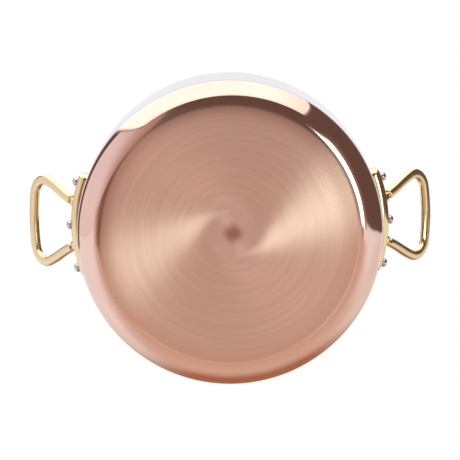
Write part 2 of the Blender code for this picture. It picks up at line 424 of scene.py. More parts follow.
@dataclass
class Brushing:
    """Node group for marks of circular brushing: fine rings with broad bands under them."""

    tree: NodeTree = field(init=False)

    def __post_init__(self) -> None:
        """Builds the node group."""
        inputs = {"Centre": (0.0, 0.0, 0.0), "Pitch": 0.6 * MM, "Streak Turns": 2.0,
                  "Band Width": 12.0 * MM}
        outputs = {label: "NodeSocketFloat" for label in ("Lines", "Bands", "Radius")}
        graph, given, made = new_group("circular_brushing", "ShaderNodeTree", inputs, outputs)
        level, outward = graph.from_axis(given["Centre"])
        radius = graph.vector("LENGTH", level)
        along = graph.math("ADD", radius, graph.part(graph.place(), "Z"))
        round_about = graph.scale(outward, given["Streak Turns"])
        for label, size in (("Lines", "Pitch"), ("Bands", "Band Width")):
            lift = graph.point(Z=graph.math("DIVIDE", along, given[size]))
            place = graph.vector("ADD", round_about, lift)
            graph.feed(made[label], graph.noise(place, scale=1.0, detail=3.0))
        graph.feed(made["Radius"], radius)
        self.tree = graph.tree


@dataclass
class Pitting:
    """Node group for cast and polished metal: a slow waviness and small pits."""

    tree: NodeTree = field(init=False)

    def __post_init__(self) -> None:
        """Builds the node group."""
        outputs = {label: "NodeSocketFloat" for label in ("Waves", "Pits")}
        graph, given, made = new_group("cast_surface", "ShaderNodeTree",
                                       {"Wave Size": 10.0 * MM, "Pit Size": 0.8 * MM}, outputs)
        place = graph.place()
        for label, size in (("Waves", "Wave Size"), ("Pits", "Pit Size")):
            scale = graph.math("DIVIDE", 1.0, given[size])
            graph.feed(made[label], graph.noise(place, scale, detail=2.0))
        self.tree = graph.tree


@dataclass(frozen=True)
class Finish(ABC):
    """A metal finish: its colour, how sharp its reflections are and how deep its marks."""

    name: str
    colour: Colour
    shade: Colour
    roughness: float
    roughness_change: float
    bump: float
    anisotropy: float

    def material(self, marks: Brushing | Pitting) -> Material:
        """Builds the material.

        Args:
            marks: the shared node group that draws this kind of finish.

        Returns:
            The material.
        """
        material = bpy.data.materials.new(self.name)
        material.use_nodes = True
        material.diffuse_color = (*self.colour, 1.0)
        graph = Graph(material.node_tree)
        shader = material.node_tree.nodes["Principled BSDF"].inputs
        shader["Metallic"].default_value = 1.0
        shader["Anisotropic"].default_value = self.anisotropy
        group = graph.add("ShaderNodeGroup", self.sizes(), node_tree=marks.tree)
        colour, roughness, height = self.masks(graph, group.outputs)
        relief = graph.add("ShaderNodeBump", {"Height": height, "Distance": self.bump})
        for label, value in (("Base Color", colour), ("Roughness", roughness), ("Normal", relief)):
            graph.feed(shader[label], value)
        if self.anisotropy:
            graph.feed(shader["Tangent"], self.tangent(graph))
        return material

    @abstractmethod
    def sizes(self) -> dict[str, Feed]:
        """Values for the node group's inputs, by name."""

    @abstractmethod
    def masks(self, graph: Graph, marks: Sockets) -> tuple[Socket, Socket, Socket]:
        """The colour, the roughness and the height of the relief, from the node group's outputs."""

    def roughened(self, graph: Graph, height: Feed) -> Socket:
        """The roughness where the marks have a height from 0 to 1."""
        swing = graph.math("MULTIPLY", graph.math("SUBTRACT", height, 0.5), self.roughness_change)
        return graph.math("ADD", swing, self.roughness)

    def tangent(self, graph: Graph) -> Socket:
        """Direction square to brush lines that run round the pan's axis."""
        return graph.from_axis()[1]


@dataclass(frozen=True)
class BrushedFinish(Finish):
    """Circular brushing, which draws reflections out square to its rings."""

    pitch: float
    band_width: float
    streak_turns: float

    def sizes(self) -> dict[str, Feed]:
        """Values for the brushing's node group."""
        return {"Pitch": self.pitch, "Band Width": self.band_width, "Streak Turns": self.streak_turns}

    def masks(self, graph: Graph, marks: Sockets) -> tuple[Socket, Socket, Socket]:
        """A colour with broad bands, and a relief of fine lines."""
        colour = graph.blend(graph.rise(marks["Bands"], *BAND_LEVELS), self.shade, self.colour)
        return colour, self.roughened(graph, marks["Lines"]), marks["Lines"]


@dataclass(frozen=True)
class BaseFinish(BrushedFinish):
    """The brushed base: lines that spiral out of a calm middle with a dark spot, and a polished edge; the
    middle, the spot and a ring inside the edge are darkened with painted shade.
    """

    centre: Point
    spiral_radius: float
    twist: float
    spot_radius: float
    # colour of the dark spot at the centre, which is painted shade
    spot_shade_colour: Colour
    calm_radius: float
    calm_roughness: float
    # colour of the calm middle, darkened with painted shade where the fans of reflected light fade
    calm_shade_colour: Colour
    # colour of a ring inside the base's edge, darkened with painted shade
    edge_shade_colour: Colour
    edge_start: float
    edge_radius: float
    edge_softness: float
    edge_roughness: float
    tooth_length: float
    spot_core: float = 0.2
    calm_core: float = 0.5
    edge_gloss: float = 0.25
    teeth_round: float = 46.0
    teeth_side: Direction = (-0.93, 0.37, 0.0)
    teeth_sector: tuple[float, float] = (0.86, 0.99)
    least_tooth: float = 0.25

    def sizes(self) -> dict[str, Feed]:
        """Values for the brushing's node group, whose centre is off the pan's axis."""
        return {**super().sizes(), "Centre": (*self.centre, 0.0)}

    def masks(self, graph: Graph, marks: Sockets) -> tuple[Socket, Socket, Socket]:
        """Adds the calm middle, the spot and the edge to the brushing, with painted shade in the middle, on
        the spot and on a ring inside the edge.

        Args:
            graph: the material's graph.
            marks: the brushing's outputs.

        Returns:
            The colour, the roughness and the height of the relief.
        """
        colour, roughness, lines = super().masks(graph, marks)
        radius = marks["Radius"]
        middle = graph.rise(radius, self.calm_radius, self.calm_core * self.calm_radius)
        # painted shade: the middle's colour is darkened where the brushed reflections fade out
        colour = graph.blend(middle, colour, self.calm_shade_colour)
        # painted shade: a dark spot at the centre of the brushing, standing in for the weaker reflection
        # there
        spot = graph.rise(radius, self.spot_radius, self.spot_core * self.spot_radius)
        colour = graph.blend(spot, colour, self.spot_shade_colour)
        near_edge, polished = self.edge_masks(graph)
        # painted shade: a darker ring inside the base's edge, where the reflection dims toward the corner
        colour = graph.blend(near_edge, colour, self.edge_shade_colour)
        colour = graph.blend(polished, colour, WALL_COPPER.colour)
        calmer = graph.math("MULTIPLY", middle, self.calm_roughness - self.roughness)
        finer = graph.math("MULTIPLY", near_edge, -self.edge_gloss * self.roughness)
        brushed = graph.math("ADD", roughness, graph.math("ADD", calmer, finer))
        drop = graph.math("MULTIPLY", polished, graph.math("SUBTRACT", self.edge_roughness, brushed))
        height = graph.math("MULTIPLY", lines, graph.math("SUBTRACT", 1.0, polished))
        return colour, graph.math("ADD", brushed, drop), height

    def edge_masks(self, graph: Graph) -> tuple[Socket, Socket]:
        """Masks for the ring of painted shade inside the edge and for the polish outside it.

        The border between them has short teeth, longest on one side of the pan.

        Args:
            graph: the material's graph.

        Returns:
            The ring's mask and the polish's mask.
        """
        level, outward = graph.from_axis()
        ragged = graph.noise(graph.scale(outward, self.teeth_round), scale=1.0, detail=2.0)
        toothed = graph.rise(graph.vector("DOT_PRODUCT", outward, self.teeth_side), *self.teeth_sector)
        length = graph.math("MULTIPLY", graph.math("ADD", toothed, self.least_tooth), self.tooth_length)
        teeth = graph.math("MULTIPLY", graph.math("SUBTRACT", ragged, 0.5), length)
        inward = graph.math("MULTIPLY", toothed, self.tooth_length / 2)
        worn = graph.math("ADD", graph.vector("LENGTH", level), graph.math("SUBTRACT", teeth, inward))
        near_edge = graph.rise(worn, self.edge_start, self.edge_radius)
        polished = graph.rise(worn, self.edge_radius - self.edge_softness,
                              self.edge_radius + self.edge_softness)
        return near_edge, polished

    def tangent(self, graph: Graph) -> Socket:
        """Direction square to brush lines that unwind from a circle and lean back by a twist.

        Args:
            graph: the material's graph.

        Returns:
            The direction.
        """
        level, outward = graph.from_axis((*self.centre, 0.0))
        sideways = graph.vector("CROSS_PRODUCT", outward, (0.0, 0.0, 1.0))
        unwound = graph.math("DIVIDE", self.spiral_radius, graph.vector("LENGTH", level))
        lean = graph.math("MINIMUM", graph.math("SUBTRACT", unwound, self.twist), 1.0)
        straight = graph.math("SQRT", graph.math("SUBTRACT", 1.0, graph.math("MULTIPLY", lean, lean)))
        return graph.vector("ADD", graph.scale(outward, straight), graph.scale(sideways, lean))


@dataclass(frozen=True)
class CastFinish(Finish):
    """Cast metal, polished, with a slow waviness and a few small pits."""

    wave_size: float
    pit_size: float

    def sizes(self) -> dict[str, Feed]:
        """Values for the casting's node group."""
        return {"Wave Size": self.wave_size, "Pit Size": self.pit_size}

    def masks(self, graph: Graph, marks: Sockets) -> tuple[Socket, Socket, Socket]:
        """A colour with shaded pits, and a relief of slow waves."""
        colour = graph.blend(graph.rise(marks["Pits"], *PIT_LEVELS), self.shade, self.colour)
        return colour, self.roughened(graph, marks["Waves"]), marks["Waves"]


BASE_COPPER = BaseFinish(
    name="copper_brushed", colour=(0.965, 0.61, 0.472), shade=(0.91, 0.572, 0.439),
    roughness=0.205, roughness_change=0.03, bump=0.005 * MM, anisotropy=0.90,
    pitch=0.7 * MM, band_width=3.2 * MM, streak_turns=1.2,
    centre=(2.8 * MM, -1.3 * MM), spiral_radius=23.0 * MM, twist=0.06,
    spot_radius=12.0 * MM, spot_shade_colour=(0.46, 0.21, 0.135),
    calm_radius=34.0 * MM, calm_roughness=0.12, calm_shade_colour=(0.80, 0.48, 0.375),
    edge_shade_colour=(0.82, 0.48, 0.345), edge_start=96.0 * MM, edge_radius=116.3 * MM,
    edge_softness=1.0 * MM, edge_roughness=0.07, tooth_length=5.5 * MM)
WALL_COPPER = BrushedFinish(
    name="copper_polished", colour=(0.93, 0.60, 0.50), shade=(0.91, 0.575, 0.475),
    roughness=0.07, roughness_change=0.03, bump=0.0, anisotropy=0.0,
    pitch=1.2 * MM, band_width=20.0 * MM, streak_turns=4.0)
LINING_STEEL = BrushedFinish(
    name="lining_steel", colour=(0.66, 0.65, 0.63), shade=(0.62, 0.61, 0.59),
    roughness=0.30, roughness_change=0.06, bump=0.005 * MM, anisotropy=0.7,
    pitch=0.8 * MM, band_width=7.0 * MM, streak_turns=1.0)
BRASS = CastFinish(
    name="brass_cast", colour=(0.92, 0.69, 0.41), shade=(0.80, 0.56, 0.29),
    roughness=0.09, roughness_change=0.04, bump=0.015 * MM, anisotropy=0.0,
    wave_size=12.0 * MM, pit_size=0.9 * MM)
RIVET_STEEL = CastFinish(
    name="rivet_steel", colour=(0.66, 0.59, 0.59), shade=(0.52, 0.46, 0.46),
    roughness=0.22, roughness_change=0.12, bump=0.03 * MM, anisotropy=0.0,
    wave_size=2.5 * MM, pit_size=0.5 * MM)


def drilled_piece(name: str, mesh: Mesh, drill: Object) -> Object:
    """Cuts the rivet holes in a mesh.

    Args:
        name: the piece's name.
        mesh: its closed mesh.
        drill: the cutter.

    Returns:
        The drilled piece, shaded smooth.
    """
    blank = new_piece(name, mesh)
    cut_with(blank, drill, "DIFFERENCE")
    drilled = settled_mesh(blank, name)
    drilled.shade_smooth()
    drilled.set_sharp_from_angle(angle=SHARP_ANGLE)
    return new_piece(name, drilled)


def cut_with(piece: Object, tool: Object, operation: str) -> None:
    """Adds an exact Boolean modifier.

    Args:
        piece: the piece that changes.
        tool: the other solid.
        operation: UNION or DIFFERENCE.
    """
    boolean = piece.modifiers.new(operation.lower(), "BOOLEAN")
    boolean.operation = operation
    boolean.solver = "EXACT"
    boolean.object = tool


@dataclass
class Pan:
    """The copper body and the steel lining bonded into it."""

    rim_radius: float
    height: float
    turner: Turner
    brushing: Brushing
    corner_radius: float = 22.0 * MM
    wall_draft: float = math.radians(0.3)
    copper: float = 1.8 * MM
    seam: float = 0.3 * MM
    lining: float = 0.4 * MM
    rim_rounding: float = 0.5 * MM
    rim_share: float = 0.45
    flat_steps: int = 6
    corner_steps: int = 30
    wall_steps: int = 14
    rim_steps: int = 5
    support: float = 0.5 * MM
    brushed_turn: float = math.radians(12.0)
    edge_lean: float = math.radians(2.6)
    edge_run: float = 12.0 * MM
    edge_steps: int = 8

    @property
    def flat_radius(self) -> float:
        """Radius of the flat base, where the corner begins.

        Returns:
            The radius.
        """
        across = self.corner_radius * math.cos(self.wall_draft)
        rise = self.height - self.corner_radius * (1 - math.sin(self.wall_draft))
        return self.rim_radius - across - rise * math.tan(self.wall_draft)

    @property
    def lining_depth(self) -> float:
        """How far the lining lies inside the outer surface."""
        return self.copper + self.seam

    @property
    def wall(self) -> float:
        """Thickness of the whole wall."""
        return self.lining_depth + self.lining

    def wall_radius(self, height: float, depth: float = 0.0) -> float:
        """Radius of the wall at a height, a depth inside its outer surface."""
        lean = (self.height - height) * math.tan(self.wall_draft)
        return self.rim_radius - lean - depth / math.cos(self.wall_draft)

    def bowl(self, depth: float) -> list[Point]:
        """Half section of the surface a depth inside the pan, from the centre to the rim.

        Args:
            depth: how far it lies inside the outer surface.

        Returns:
            The points as (radius, height).
        """
        arc_radius = self.corner_radius - depth
        centre = (self.flat_radius, self.corner_radius + self.edge_lift)
        corner = arc(centre, arc_radius, -math.pi / 2 + self.edge_lean, -self.wall_draft, self.corner_steps)
        run = 2 * (corner[0][1] - depth) / math.tan(self.edge_lean)
        crown = [(corner[0][0] - run * (1 - i / self.edge_steps),
                  depth + (corner[0][1] - depth) * (i / self.edge_steps) ** 2)
                 for i in range(self.edge_steps)]
        flat = [crown[0][0] * i / self.flat_steps for i in range(self.flat_steps)]
        start = corner[-1][1] + self.support
        rise = self.height - self.rim_rounding - start
        heights = [start + rise * i / self.wall_steps for i in range(self.wall_steps + 1)]
        wall = [(self.wall_radius(h, depth), h) for h in heights]
        return [(r, depth) for r in flat] + crown + corner + wall

    def skin(self, outer: float, inner: float) -> list[Point]:
        """Closed half section of a skin between two depths, with a rounded rim.

        Args:
            outer: depth of its outer surface.
            inner: depth of its inner surface.

        Returns:
            The outline, up the inside, over the rim and down the outside.
        """
        rounding = min(self.rim_rounding, self.rim_share * (inner - outer))
        top = self.height - rounding
        turn = math.pi / 2
        inward = self.wall_radius(self.height, inner) + rounding
        outward = self.wall_radius(self.height, outer) - rounding
        inside = arc((inward, top), rounding, 2 * turn, turn, self.rim_steps)
        outside = arc((outward, top), rounding, turn, 0.0, self.rim_steps)
        return self.bowl(inner) + inside + outside + self.bowl(outer)[::-1]

    @property
    def brushed_height(self) -> float:
        """How high the brushed finish reaches up the corner."""
        return self.corner_radius * (1 - math.cos(self.brushed_turn)) + self.edge_lift

    @property
    def edge_lift(self) -> float:
        """How far the base's slight crown, a parabola at its edge, lifts the corner."""
        sunk = self.corner_radius * (1 - math.cos(self.edge_lean))
        return math.tan(self.edge_lean) * self.edge_run / 2 - sunk

    def build(self, drill: Object) -> list[Object]:
        """Makes the body and the lining.

        Args:
            drill: the cutter for the rivet holes.

        Returns:
            The two pieces.
        """
        polished = WALL_COPPER.material(self.brushing)
        brushed = BASE_COPPER.material(self.brushing)
        steel = LINING_STEEL.material(self.brushing)
        body_mesh = self.turner.turned("pan_body", self.skin(0.0, self.copper), self.rim_radius, polished)
        body_mesh.materials.append(brushed)
        for face in body_mesh.polygons:
            if face.center.z < self.brushed_height:
                face.material_index = 1
        lining_mesh = self.turner.turned("pan_lining", self.skin(self.lining_depth, self.wall),
                                         self.rim_radius, steel)
        body = drilled_piece("pan_body", body_mesh, drill)
        lining = drilled_piece("pan_lining", lining_mesh, drill)
        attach(body, "root")
        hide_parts("copper_body")
        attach(lining, "root")
        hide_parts("steel_lining")
        return [body, lining]


@dataclass
class RivetLine:
    """Where a handle's rivets sit, worked out for the handle at +X."""

    pan: Pan
    spacing: float = 38.6 * MM
    drop: float = 22.0 * MM
    count: int = 3
    hole_radius: float = 3.05 * MM
    hole_steps: int = 48
    hole_depth: float = 18.0 * MM

    @property
    def height(self) -> float:
        """Height of the row above the base."""
        return self.pan.height - self.drop

    @property
    def radius(self) -> float:
        """Radius of the wall at the row."""
        return self.pan.wall_radius(self.height)

    @property
    def step(self) -> float:
        """Angle between neighbours."""
        return self.spacing / self.radius

    def drill(self) -> Object:
        """Makes one cutter for the holes of both handles.

        Returns:
            The cutter.
        """
        shape = bmesh.new()
        tip_over = Matrix.Rotation(math.pi / 2 + self.pan.wall_draft, 4, "Y")
        place = Matrix.Translation((self.radius, 0.0, self.height))
        for side in Side:
            for i in range(self.count):
                angle = (i - (self.count - 1) / 2) * self.step
                matrix = side.turn @ Matrix.Rotation(angle, 4, "Z") @ place @ tip_over
                bmesh.ops.create_cone(shape, cap_ends=True, segments=self.hole_steps,
                                      radius1=self.hole_radius, radius2=self.hole_radius,
                                      depth=2 * self.hole_depth, matrix=matrix)
        return new_piece("rivet_drill", mesh_of(shape, "rivet_drill"))


@dataclass
class BarSweep:
    """Geometry Nodes that sweep a rounded bar along a flat line, with its own size at each point."""

    tree: NodeTree = field(init=False)

    def __post_init__(self) -> None:
        """Builds the node group."""
        sizes = {"Width": 9.0 * MM, "Thickness": 7.0 * MM, "Rounding": 2.0 * MM, "Rounding Steps": 6,
                 "Weld": 0.01 * MM}
        graph, given, made = new_shape_group("swept_bar", sizes)
        line = graph.add("GeometryNodeMeshToCurve", {"Mesh": given["Geometry"]})
        upright = graph.add("GeometryNodeSetCurveNormal", {"Curve": line}, mode="Z_UP")
        blank = graph.add("GeometryNodeCurvePrimitiveQuadrilateral",
                          {"Width": given["Width"], "Height": given["Thickness"]})
        section = graph.add("GeometryNodeFilletCurve", {
            "Curve": blank, "Count": given["Rounding Steps"], "Radius": given["Rounding"]}, mode="POLY")
        swept = graph.add("GeometryNodeCurveToMesh", {
            "Curve": upright, "Profile Curve": section, "Scale": graph.stored("share"),
            "Fill Caps": True})
        welded = graph.add("GeometryNodeMergeByDistance",
                           {"Geometry": swept, "Distance": given["Weld"]})
        graph.close(welded, given, made)
        self.tree = graph.tree


@dataclass
class LoopHandle:
    """One brass casting: a flange wrapped round the wall, and the loop that rises from it."""

    line: RivetLine
    sweep: BarSweep
    brass: Material
    gap: float = 0.3 * MM
    thickness: float = 9.2 * MM
    end_thickness: float = 8.0 * MM
    plate_height: float = 26.0 * MM
    end_margin: float = 9.7 * MM
    plate_corner: float = 6.5 * MM
    plate_rounding: float = 4.6 * MM
    plate_bulge: float = 6.6 * MM
    middle_rise: float = 2.0 * MM
    bar_width: float = 9.4 * MM
    bar_thickness: float = 7.4 * MM
    bar_rounding: float = 3.2 * MM
    rise: float = math.radians(50.0)
    reach: float = 62.9 * MM
    loop_corner: float = 16.8 * MM
    bow_radius: float = 150.0 * MM
    spread: float = math.radians(24.5)
    root_spacing: float = 41.5 * MM
    root_rise: float = 9.0 * MM
    neck_length: float = 3.4 * MM
    neck_share: float = 0.58
    shoulder_length: float = 1.6 * MM
    arm_share: float = 0.95
    arm_sway: float = 0.25 * MM
    root_flare: float = 0.95
    plate_slices: int = 96
    arc_steps: int = 24
    edge_steps: int = 7
    weld: float = 0.01 * MM
    crease: float = math.radians(38.0)

    @property
    def half_length(self) -> float:
        """Half the flange's length, measured on the wall."""
        return self.line.spacing + self.end_margin

    def thickness_at(self, angle: float) -> float:
        """Thickness of the flange at an angle from the handle's middle."""
        share = angle * self.line.radius / self.half_length
        return self.thickness - (self.thickness - self.end_thickness) * share ** 2

    def plate_outline(self, inset: float) -> list[Point]:
        """Outline of the unrolled flange, as (length, height).

        Args:
            inset: how far the outline lies inside the flange's edge.

        Returns:
            The points, once round.
        """
        half_length = self.half_length - self.plate_corner
        half_height = self.plate_height / 2 - self.plate_corner
        outline = []
        for quarter, (along, up) in enumerate(((1, 1), (-1, 1), (-1, -1), (1, -1))):
            start = quarter * math.pi / 2
            outline += arc((along * half_length, up * half_height), self.plate_corner - inset, start,
                           start + math.pi / 2, self.arc_steps)
        return outline

    def plate(self) -> Mesh:
        """The flange: a plate with a full rounding round its outer face, wrapped round the wall.

        Returns:
            The closed mesh.
        """
        shape = bmesh.new()
        turns = [math.pi / 2 * i / self.edge_steps for i in range(self.edge_steps + 1)]
        levels = [(0.0, 0.0)]
        levels += [(self.plate_rounding * (1 - math.cos(t)),
                    self.thickness - self.plate_bulge * (1 - math.sin(t))) for t in turns]
        rings = [[shape.verts.new((x, y, lift)) for x, y in self.plate_outline(inset)]
                 for inset, lift in levels]
        for low, high in zip(rings, rings[1:]):
            for i, corner in enumerate(low):
                shape.faces.new((low[i - 1], corner, high[i], high[i - 1]))
        shape.faces.new(rings[0][::-1])
        shape.faces.new(rings[-1])
        for i in range(1, self.plate_slices):
            cut = self.half_length * (2 * i / self.plate_slices - 1)
            everything = shape.verts[:] + shape.edges[:] + shape.faces[:]
            bmesh.ops.bisect_plane(shape, geom=everything, dist=self.weld, plane_co=(cut, 0.0, 0.0),
                                   plane_no=(1.0, 0.0, 0.0))
        bmesh.ops.triangulate(shape, faces=shape.faces)
        for vert in shape.verts:
            angle = vert.co.x / self.line.radius
            height = self.line.height + self.middle_rise + vert.co.y
            depth = vert.co.z * self.thickness_at(angle) / self.thickness
            radius = self.line.pan.wall_radius(height) + self.gap + depth
            vert.co = (radius * math.cos(angle), radius * math.sin(angle), height)
        bmesh.ops.recalc_face_normals(shape, faces=shape.faces)
        return mesh_of(shape, "flange")

    def half_path(self) -> list[tuple[float, float, float]]:
        """Half of the loop's centre line.

        The arm is a line that sways a little, and the corner an arc that touches it and lies inside
        the grip's bow. The corner's centre is one corner radius inside both, which makes its reach
        the larger root of a quadratic equation.

        Returns:
            The points as (reach, offset, share of the bar's size).
        """
        slope = math.tan(self.spread)
        root = self.root_spacing / 2
        bow_centre = self.reach - self.bow_radius
        inside = root - self.loop_corner / math.cos(self.spread)
        square = 1 + slope ** 2
        linear = 2 * (slope * inside - bow_centre)
        constant = bow_centre ** 2 + inside ** 2 - (self.bow_radius - self.loop_corner) ** 2
        centre_x = (-linear + math.sqrt(linear * linear - 4 * square * constant)) / (2 * square)
        centre_y = inside + slope * centre_x
        arm_end = math.pi / 2 + self.spread
        bow_end = math.atan2(centre_y, centre_x - bow_centre)
        corner = arc((centre_x, centre_y), self.loop_corner, arm_end, bow_end, self.arc_steps)
        bow = arc((bow_centre, 0.0), self.bow_radius, bow_end, 0.0, self.arc_steps)[1:]
        sunk = -self.end_thickness / 2 / math.cos(self.rise)
        path = [(sunk, self.root_flare, 0.0), (0.0, self.root_flare, 0.0),
                (self.neck_length / 2, self.neck_share, 0.0)]
        for i in range(self.edge_steps + 1):
            turn = math.pi / 2 * i / self.edge_steps
            growth = (self.arm_share - self.neck_share) * math.sin(turn)
            path.append((self.neck_length + self.shoulder_length * (1 - math.cos(turn)),
                         self.neck_share + growth, 0.0))
        start = path[-1][0]
        for i in range(1, self.arc_steps):
            part = i / self.arc_steps
            share = self.arm_share + (1.0 - self.arm_share) * part
            path.append((start + (corner[0][0] - start) * part, share,
                         -self.arm_sway * math.sin(2 * math.pi * part)))
        arm = [(x - sway * math.sin(self.spread), root + slope * x + sway * math.cos(self.spread), share)
               for x, share, sway in path]
        return arm + [(x, y, 1.0) for x, y in corner + bow]

    def loop(self) -> Mesh:
        """The loop: the bar swept along its centre line and tipped up from the flange.

        Returns:
            The closed mesh.
        """
        half = self.half_path()
        whole = half + [(x, -y, share) for x, y, share in half[-2::-1]]
        line = section_mesh("loop", [(x, y) for x, y, _ in whole], [share for _, _, share in whole])
        values = {"Width": self.bar_width, "Thickness": self.bar_thickness, "Rounding": self.bar_rounding,
                  "Rounding Steps": self.edge_steps, "Weld": self.weld, "Material": self.brass}
        mesh = grown_mesh(line, self.sweep.tree, values)
        root_angle = math.asin(self.root_spacing / 2 / (self.line.radius + self.gap + self.thickness))
        root_radius = self.line.radius + self.gap + self.thickness_at(root_angle)
        root = Vector((root_radius * math.cos(root_angle), 0.0, self.line.height + self.root_rise))
        mesh.transform(Matrix.Translation(root) @ Matrix.Rotation(-self.rise, 4, "Y"))
        return mesh

    def build(self, drill: Object) -> list[Object]:
        """Joins and drills the casting, and places it on both sides.

        Args:
            drill: the cutter for the rivet holes.

        Returns:
            The two handles.
        """
        loop = new_piece("loop_blank", self.loop())
        blank = new_piece("handle_blank", self.plate())
        cut_with(blank, loop, "UNION")
        cut_with(blank, drill, "DIFFERENCE")
        joined = settled_mesh(blank, "handle_joined")
        bpy.data.objects.remove(loop)
        joined.shade_smooth()
        joined.set_sharp_from_angle(angle=self.crease)
        blank = new_piece("handle_joined", joined)
        even = blank.modifiers.new("even", "WEIGHTED_NORMAL")
        even.keep_sharp = True
        casting = settled_mesh(blank, "handle_casting")
        casting.materials.clear()
        casting.materials.append(self.brass)
        pieces = []
        for side in Side:
            mesh = casting.copy()
            mesh.transform(side.turn)
            piece = new_piece(f"loop_handle_{side.word}", mesh)
            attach(piece, "root")
            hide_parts(f"handle_{side.word}")
            pieces.append(piece)
        return pieces


@dataclass
class RivetRow:
    """The rivets of both handles, turned once and set out by Geometry Nodes."""

    handle: LoopHandle
    turner: Turner
    steel: Material
    shank_radius: float = 2.75 * MM
    outer_radius: float = 4.2 * MM
    outer_height: float = 4.4 * MM
    outer_land: float = 1.2 * MM
    inner_radius: float = 7.0 * MM
    inner_height: float = 2.2 * MM
    inner_land: float = 0.6 * MM
    edge: float = 0.35 * MM
    edge_steps: int = 4
    dome_steps: int = 14
    segments: int = 64
    rail_radius: float = 1.0 * MM

    def section(self) -> list[Point]:
        """Half section of the middle rivet, from top to bottom.

        Returns:
            The points as (radius, height above the wall).
        """
        handle = self.handle
        pan = handle.line.pan
        seat = 2 * handle.gap + handle.thickness
        inside = pan.wall_radius(handle.line.height, pan.wall)
        sink = inside - math.sqrt(inside ** 2 - self.inner_radius ** 2)
        under = -(pan.wall + handle.gap + sink)
        outer_dome = self.outer_height - self.outer_land
        inner_dome = self.inner_height - self.inner_land
        turns = [math.pi / 2 * i / self.dome_steps for i in range(self.dome_steps + 1)]
        top = [(self.outer_radius * math.sin(t), seat + self.outer_land + outer_dome * math.cos(t))
               for t in turns]
        bottom = [(self.inner_radius * math.cos(t), under - self.inner_land - inner_dome * math.sin(t))
                  for t in turns]
        outer_edge = arc((self.outer_radius - self.edge, seat + self.edge), self.edge,
                         0.0, -math.pi / 2, self.edge_steps)
        inner_edge = arc((self.inner_radius - self.edge, under - self.edge), self.edge,
                         math.pi / 2, 0.0, self.edge_steps)
        shank = [(self.shank_radius, height) for height in (seat, (seat + under) / 2, under)]
        return top + outer_edge + shank + inner_edge + bottom

    def tree(self) -> NodeTree:
        """Builds the tree that turns the rivet, repeats it and seats each head on the flange.

        Returns:
            The tree.
        """
        sizes = {"Count": 3, "Step Angle": 0.28, "Side Angle": 0.0, "Row Radius": 140.0 * MM,
                 "Row Height": 118.0 * MM, "Draft": 0.005, "End Drop": 0.0,
                 "Segments": self.segments, "Rail Radius": self.rail_radius}
        graph, given, made = new_shape_group("rivet_row", sizes)
        labels = ("Geometry", "Segments", "Rail Radius", "Material")
        turned = graph.add("GeometryNodeGroup", {label: given[label] for label in labels},
                           node_tree=self.turner.tree)
        spot = graph.part(graph.add("GeometryNodeInputPosition"), "Z")
        marked = graph.store(turned, "head", graph.math("GREATER_THAN", spot, 0.0))
        middle = graph.math("DIVIDE", graph.math("SUBTRACT", given["Count"], 1.0), 2.0)
        place = graph.math("SUBTRACT", graph.add("GeometryNodeInputIndex").outputs[0], middle)
        angle = graph.math("ADD", graph.math("MULTIPLY", place, given["Step Angle"]),
                           given["Side Angle"])
        seat = graph.round_point(angle, given["Row Radius"], given["Row Height"])
        points = graph.add("GeometryNodePoints", {"Count": given["Count"], "Position": seat})
        share = graph.math("ABSOLUTE", graph.math("DIVIDE", place, middle))
        drop = graph.math("MULTIPLY", graph.math("MULTIPLY", share, share), given["End Drop"])
        aimed = graph.store(graph.store(points, "drop", drop), "turn", angle)
        pitch = graph.math("ADD", given["Draft"], math.pi / 2)
        turn = graph.add("FunctionNodeEulerToRotation", {"Euler": graph.point(Y=pitch, Z=angle)})
        copies = graph.add("GeometryNodeInstanceOnPoints",
                           {"Points": aimed, "Instance": marked, "Rotation": turn})
        real = graph.add("GeometryNodeRealizeInstances", {"Geometry": copies})
        kept = {label: graph.stored(label) for label in ("head", "drop", "turn")}
        inward = graph.round_point(kept["turn"], -1.0)
        shift = graph.scale(inward, graph.math("MULTIPLY", kept["head"], kept["drop"]))
        seated = graph.add("GeometryNodeSetPosition", {"Geometry": real, "Offset": shift})
        graph.close(seated, given, made)
        return graph.tree

    def build(self) -> list[Object]:
        """Makes a row of rivets on each side.

        Returns:
            The two rows.
        """
        handle = self.handle
        line = handle.line
        tree = self.tree()
        ends = line.step * (line.count - 1) / 2
        pieces = []
        for side in Side:
            values = {"Count": line.count, "Step Angle": line.step, "Side Angle": side.value,
                      "Row Radius": line.radius, "Row Height": line.height, "Draft": line.pan.wall_draft,
                      "End Drop": handle.thickness - handle.thickness_at(ends),
                      "Segments": self.segments, "Rail Radius": self.rail_radius, "Material": self.steel}
            section = section_mesh(f"rivets_{side.word}", self.section())
            mesh = grown_mesh(section, tree, values)
            mesh.set_sharp_from_angle(angle=SHARP_ANGLE)
            piece = new_piece(f"rivets_{side.word}", mesh)
            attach(piece, "root")
            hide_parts(*(f"rivet_{side.word}_{place}" for place in ("front", "middle", "back")))
            pieces.append(piece)
        return pieces


@dataclass(frozen=True)
class Edge:
    """A straight edge of a card: a plane near the pan, which the card lies on one side of."""

    normal: Direction
    offset: float = 0.0
    softness: float = 0.01

    def mask(self, graph: Graph, way: Socket) -> Socket:
        """1 where a direction points to the card's side of the edge, and 0 on the other."""
        height = graph.vector("DOT_PRODUCT", way, self.normal)
        return graph.rise(height, self.offset - self.softness, self.offset + self.softness)


@dataclass(frozen=True)
class Card:
    """A far sheet or lamp of the studio, of one colour, inside its edges."""

    name: str
    colour: Colour
    edges: tuple[Edge, ...]

    def over(self, graph: Graph, way: Socket, walls: Feed) -> Socket:
        """Lays the card over what is behind it.

        Args:
            graph: the world's graph.
            way: the direction looked in.
            walls: the colour behind it.

        Returns:
            The colour with the card.
        """
        share = None
        for edge in self.edges:
            side = edge.mask(graph, way)
            share = side if share is None else graph.math("MULTIPLY", share, side)
        mixed = graph.blend(share, walls, self.colour)
        mixed.node.label = self.name
        return mixed


